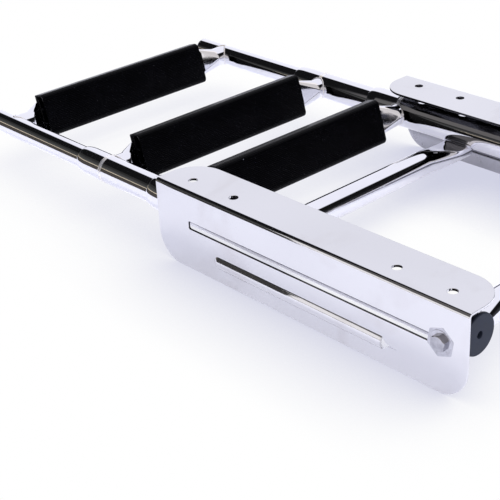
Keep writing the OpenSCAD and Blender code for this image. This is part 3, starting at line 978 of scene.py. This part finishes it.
def tread_piece(name, x):
    turn = Matrix.Rotation(-LEAN, 3, "Y")

    def place(ahead, up, y):
        return turn @ Vector((ahead, 0, up)) + Vector((x, y, STILE_Z))

    outline, cells, soft, end = tread_outline(), tread_cells(), TREAD_SOFT, TREAD_HALF
    centre_x, reach = (TREAD_FRONT + TREAD_SEAT) / 2, TREAD_UP - TREAD_INSET
    softened = [p + (Vector((centre_x, max(-reach, min(reach, p.y)))) - p).normalized() * soft
                for p in outline]
    rings = [(softened, -end), (outline, -end + soft), (outline, end - soft), (softened, end)]
    parts = [loft([[place(p.x, p.y, y) for p in loop] for loop, y in rings], False)]
    parts += [loft([[place(p.x, p.y, y) for p in cell] for y in (-end, end)], False) for cell in cells]
    parts += [filled([softened] + cells, place, y) for y in (-end, end)]
    add_piece(name + "_tread_ribbed", join_parts(parts), name + "_section", TREAD,
              [name + "_tread"], weld=0.01 * MM)


for name, x in RUNG_X.items():
    tread_piece(name, x)

# ---------------- pivot hardware

washer_low, washer_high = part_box("bolt_washers")
WASHER_OUT, HEX_OUT, HEAD_OUT = (-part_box(node)[0].y - FACE_Y for node in
                                 ("bolt_washers", "hex_plates", "pivot_bolts"))
WASHER_RADIUS = (washer_high.x - washer_low.x) / 2
SLIDE_GAP = 0.1 * MM
BOLT_R = 4 * MM
HEX_AF = 26 * MM
HEAD_AF = 14 * MM
HEX_SEGMENTS = 96
HEX_CORNER, CONE_FALL, HEX_RIM, HEX_DISH = 1.155, 0.2, 0.93, (0.86, 0.3)
BOLT_TIP = -24.9 * MM


def hex_prism(across_flats, turn_deg, start, end, chamfer, place, hole=0.0, dish=0.0):
    """A hexagonal prism whose outer corners are turned off by a cone, as on a bolt head."""
    turn = math.radians(turn_deg)
    flat_r = across_flats / 2

    def hex_r(angle):
        return flat_r / math.cos((angle - turn) % (math.pi / 3) - math.pi / 6)

    def ring(along, limit):
        return [place(along, *polar(min(hex_r(a), limit), a)) for a in ring_angles(HEX_SEGMENTS)]

    levels = [(start, 0.0), (end - chamfer, 0.0)]
    levels += [(end - chamfer * (1 - k / 4), k / 4) for k in range(1, 5)]
    rings = [ring(along, flat_r * (HEX_CORNER - CONE_FALL * rise)) for along, rise in levels]
    rings.append(ring(end, flat_r * HEX_RIM))
    if dish:
        rings += [ring(end - dish, flat_r * part) for part in HEX_DISH]
    if hole:
        rings += [ring(end, hole), ring(start, hole), rings[0]]
    return loft(rings, not hole)


bolt_parts, plate_parts = [], []
for side in SIDES.values():
    spot = on_pivot(side)
    turn = 22 if side < 0 else 158
    bolt_parts.append(hex_prism(HEAD_AF, turn, WASHER_OUT, HEAD_OUT, 0.9 * MM, spot, dish=0.12 * MM))
    shank = fillet([(WASHER_OUT + 0.5 * MM, 0), (WASHER_OUT + 0.5 * MM, BOLT_R, 0),
                    (BOLT_TIP, BOLT_R, 0.8 * MM), (BOLT_TIP, 0)], 0)
    bolt_parts.append(revolve(shank, spot, 64))
    plate_parts.append(hex_prism(HEX_AF, 21, SLIDE_GAP, HEX_OUT, 0.3 * MM, spot, hole=BOLT_R))
add_piece("pivot_bolts_steel", join_parts(bolt_parts), "carriage", FASTENER, ["pivot_bolts"])
add_piece("hex_plates_steel", join_parts(plate_parts), "carriage", WASHER, ["hex_plates"])
washer_profile = fillet([(HEX_OUT, BOLT_R), (WASHER_OUT, BOLT_R, 0.1 * MM),
                         (WASHER_OUT, WASHER_RADIUS, 0.35 * MM), (HEX_OUT, WASHER_RADIUS, 0.15 * MM)], 0)
turned_pair("washers_steel", washer_profile, on_pivot, "carriage", WASHER, "fastener", ["bolt_washers"])

# ---------------- pieces kept from the CAD model

KEPT = {
    NYLON: ("spacer_bushes", "outer_guide_rings", "middle_guide_rings", "middle_slide_bushings",
            "lower_slide_bushings"),
    FASTENER: ("pivot_inserts", "upper_tread_rivets", "middle_tread_rivets", "lower_tread_rivets"),
}
for material, nodes in KEPT.items():
    for node in nodes:
        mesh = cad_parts[node].data
        mesh.materials.clear()
        mesh.materials.append(material)

# ---------------- floor, lights, reflections and camera


def emitter(name, corners, colour, strength):
    """A glowing card that only reflections see."""
    mesh = bpy.data.meshes.new(name)
    mesh.from_pydata([tuple(c) for c in corners], [], [list(range(len(corners)))])
    material = bpy.data.materials.new(name)
    material.use_nodes = True
    tree = material.node_tree
    tree.nodes.clear()
    glow = tree.nodes.new("ShaderNodeEmission")
    glow.inputs["Color"].default_value = (*colour, 1)
    glow.inputs["Strength"].default_value = strength
    out = tree.nodes.new("ShaderNodeOutputMaterial")
    tree.links.new(glow.outputs["Emission"], out.inputs["Surface"])
    mesh.materials.append(material)
    card = add_object(name, mesh)
    card.visible_camera = False
    card.visible_diffuse = False
    card.visible_shadow = False
    card.visible_transmission = False


FLOOR_HALF = 6.0
FLOOR_GAP = 0.1 * MM
SHADOW_REACH = 140 * MM


def make_floor():
    """A pale floor. Seen directly it is clear wherever nothing stands close above it, so that it doesn't hide
    the ladder where that hangs below the brackets; near things it shows a painted shadow, a dark blue glow
    mixed in by ambient occlusion. Light and reflections meet it as solid."""
    z = FLOOR_Z - FLOOR_GAP
    corners = [(x * FLOOR_HALF, y * FLOOR_HALF, z) for x, y in ((-1, -1), (1, -1), (1, 1), (-1, 1))]
    mesh = bpy.data.meshes.new("floor")
    mesh.from_pydata(corners, [], [[0, 1, 2, 3]])
    material, tree, shader = new_material("floor", (0.90, 0.90, 0.90), 0.0, 0.6)
    shader.inputs["Emission Color"].default_value = (0.90, 0.89, 1.0, 1)
    shader.inputs["Emission Strength"].default_value = 0.37
    paper = noise(tree, object_coords(tree), 300, 3)
    add_bump(tree, shader, paper, 0.03, 0.0003)
    cover = tree.nodes.new("ShaderNodeAmbientOcclusion")
    cover.samples = 16
    cover.inputs["Distance"].default_value = SHADOW_REACH
    lean = tree.nodes.new("ShaderNodeCombineXYZ")
    for axis, part in zip("XYZ", Vector((0.05, 0.35, 0.94)).normalized()):
        lean.inputs[axis].default_value = part
    tree.links.new(lean.outputs["Vector"], cover.inputs["Normal"])
    # Painted shadow: a dark blue glow that the camera sees over the clear floor, as strong as the ambient
    # occlusion is deep.
    painted_shadow_glow = tree.nodes.new("ShaderNodeEmission")
    painted_shadow_glow.inputs["Color"].default_value = (0.20, 0.22, 0.50, 1)
    clear = tree.nodes.new("ShaderNodeBsdfTransparent")
    painted_shadow_amount = remap(tree, cover.outputs["AO"], 0.25, 0.90, 0.46, 0.0)
    seen = mix_shaders(tree, painted_shadow_amount, clear.outputs["BSDF"], painted_shadow_glow.outputs["Emission"])
    path = tree.nodes.new("ShaderNodeLightPath")
    both = mix_shaders(tree, path.outputs["Is Camera Ray"], shader.outputs["BSDF"], seen)
    tree.links.new(both, tree.nodes["Material Output"].inputs["Surface"])
    mesh.materials.append(material)
    floor = add_object("floor", mesh)


make_floor()

# Where the pale floor ends, as the stiles and the bend see it: a line in front of the ladder, on its left
EDGE_A = Vector((-1.30, -0.173))
EDGE_B = Vector((0.30, -0.782))
CARD_SPLIT = 0.60


def along_edge(f, z):
    p = EDGE_A.lerp(EDGE_B, f)
    return Vector((p.x, p.y, z))


def edge_card(name, f0, f1, z0, z1, colour, strength):
    emitter(name, [along_edge(f0, z0), along_edge(f1, z0), along_edge(f1, z1), along_edge(f0, z1)],
            colour, strength)


WARM_LOW, WARM_HIGH = 40 * MM, 60 * MM
DARK_TOP = FLOOR_Z + 18 * MM
BRIGHT_TOP = 195 * MM
BEND_CARD = (-345 * MM, -120 * MM, -336 * MM, 30 * MM)
edge_card("floor_line", 0, CARD_SPLIT, FLOOR_Z, WARM_LOW, (0.9, 0.8, 0.72), 0.09)
edge_card("warm_line", 0, CARD_SPLIT, WARM_LOW, WARM_HIGH, (1.0, 0.86, 0.64), 0.85)
for step, (low, high, level) in enumerate(((60, 110, 0.10), (110, 180, 0.065), (180, 280, 0.035))):
    edge_card(f"grey_card_{step}", 0, CARD_SPLIT, low * MM, high * MM, (0.92, 0.92, 0.90), level)
x0, x1, y, top = BEND_CARD
emitter("bend_card", [(x0, y, FLOOR_Z), (x1, y, FLOOR_Z), (x1, y, top), (x0, y, top)],
        (0.9, 0.86, 0.84), 0.06)
edge_card("dark_line", CARD_SPLIT, 1, FLOOR_Z, DARK_TOP, (0.6, 0.5, 0.42), 0.25)
edge_card("bright_card", CARD_SPLIT, 1, DARK_TOP, BRIGHT_TOP, (1.0, 0.97, 0.97), 1.1)


def make_world():
    """White to the camera and an even pale blue to diffuse light. Reflections see a studio: a pale backdrop
    behind, dim panels in front and overhead, and dark between."""
    world = bpy.data.worlds.new("studio")
    bpy.context.scene.world = world
    world.use_nodes = True
    tree = world.node_tree
    tree.nodes.clear()
    coords = tree.nodes.new("ShaderNodeTexCoord")
    direction = coords.outputs["Generated"]

    def plane(normal, offset, soft):
        """0 to 1 across the plane where normal . direction equals offset."""
        dot = tree.nodes.new("ShaderNodeVectorMath")
        dot.operation = "DOT_PRODUCT"
        tree.links.new(direction, dot.inputs[0])
        dot.inputs[1].default_value = normal
        ramp = tree.nodes.new("ShaderNodeMapRange")
        ramp.interpolation_type = "SMOOTHSTEP"
        ramp.inputs["From Min"].default_value = offset - soft
        ramp.inputs["From Max"].default_value = offset + soft
        tree.links.new(dot.outputs["Value"], ramp.inputs["Value"])
        return ramp.outputs["Result"]

    def product(first, second):
        return maths(tree, "MULTIPLY", first, second)

    def brightest(*levels):
        level = levels[0]
        for other in levels[1:]:
            level = maths(tree, "MAXIMUM", level, other)
        return level

    def background(colour=(1.0, 1.0, 1.0), strength=1.0):
        node = tree.nodes.new("ShaderNodeBackground")
        node.inputs["Color"].default_value = (*colour, 1)
        node.inputs["Strength"].default_value = strength
        return node

    backdrop = product(plane((0.327, 1, 0), 0.0, 0.03), plane((-0.9, 0, 1), 0.31, 0.06))
    panel = product(plane((0.768, -0.525, 0.368), 0.0, 0.02), plane((0, -1, 0), -0.25, 0.08))
    low_glow = product(plane((0, 0, -1), -0.22, 0.25), 0.07)
    overhead = product(plane((0, 0, 1), 0.92, 0.02), 0.75)
    behind_camera = product(plane((1, 0, 0), 0.2, 0.1), plane((0, -1, 0), 0.1, 0.1))
    low_backdrop = brightest(product(plane((0.25, 0.97, 0), 0.1, 0.14), 0.9), 0.13)
    below = product(plane((0, 0, -1), 0.06, 0.05), low_backdrop)
    bright = brightest(product(backdrop, 1.14), product(panel, 0.14), overhead,
                       product(behind_camera, 0.75), below)
    level = brightest(maths(tree, "ADD", bright, low_glow), 0.008)
    studio = background()
    tree.links.new(blend(tree, panel, (0.92, 0.92, 1.0), (1.0, 0.95, 0.93)), studio.inputs["Color"])
    tree.links.new(level, studio.inputs["Strength"])
    soft, white = background((0.80, 0.83, 1.0), 0.86), background()
    path = tree.nodes.new("ShaderNodeLightPath")
    lighting = mix_shaders(tree, path.outputs["Is Glossy Ray"], soft.outputs[0], studio.outputs[0])
    out = tree.nodes.new("ShaderNodeOutputWorld")
    seen = mix_shaders(tree, path.outputs["Is Camera Ray"], lighting, white.outputs[0])
    tree.links.new(seen, out.inputs["Surface"])


make_world()


def soft_light(name, place, target, size, power, colour):
    data = bpy.data.lights.new(name, "AREA")
    data.shape = "DISK"
    data.size = size
    data.energy = power
    data.color = colour
    lamp = add_object(name, data)
    lamp.location = place
    lamp.rotation_mode = "QUATERNION"
    lamp.rotation_quaternion = (Vector(target) - Vector(place)).to_track_quat("-Z", "Y")
    lamp.visible_glossy = False


soft_light("key", (0.9, 0.9, 1.9), (-0.1, 0, 0), 0.9, 17, (1.0, 0.97, 0.90))
soft_light("fill", (-0.6, -1.4, 1.5), (-0.1, 0, 0), 1.4, 5, (1.0, 0.96, 0.92))

CAMERA_AZIMUTH = 48.51
CAMERA_ELEVATION = 27.94
CAMERA_ROLL = -3.07
CAMERA_PLACE = Vector((711.06, -879.26, 512.65)) * MM
LENS = 87.94


def make_camera():
    azimuth, elevation, roll = (math.radians(a) for a in (CAMERA_AZIMUTH, CAMERA_ELEVATION, CAMERA_ROLL))
    ahead = Vector((-math.sin(azimuth) * math.cos(elevation), math.cos(azimuth) * math.cos(elevation),
                    -math.sin(elevation)))
    right = ahead.cross(Vector((0, 0, 1))).normalized()
    up = right.cross(ahead)
    turned_right = right * math.cos(roll) + up * math.sin(roll)
    turned_up = up * math.cos(roll) - right * math.sin(roll)
    data = bpy.data.cameras.new("camera")
    data.sensor_width = 36
    data.lens = LENS
    data.clip_start, data.clip_end = 0.05, 50
    camera = add_object("camera", data)
    basis = Matrix((turned_right, turned_up, -ahead)).transposed().to_4x4()
    camera.matrix_world = Matrix.Translation(CAMERA_PLACE) @ basis
    bpy.context.scene.camera = camera


make_camera()
bpy.context.scene.view_settings.view_transform = "Standard"
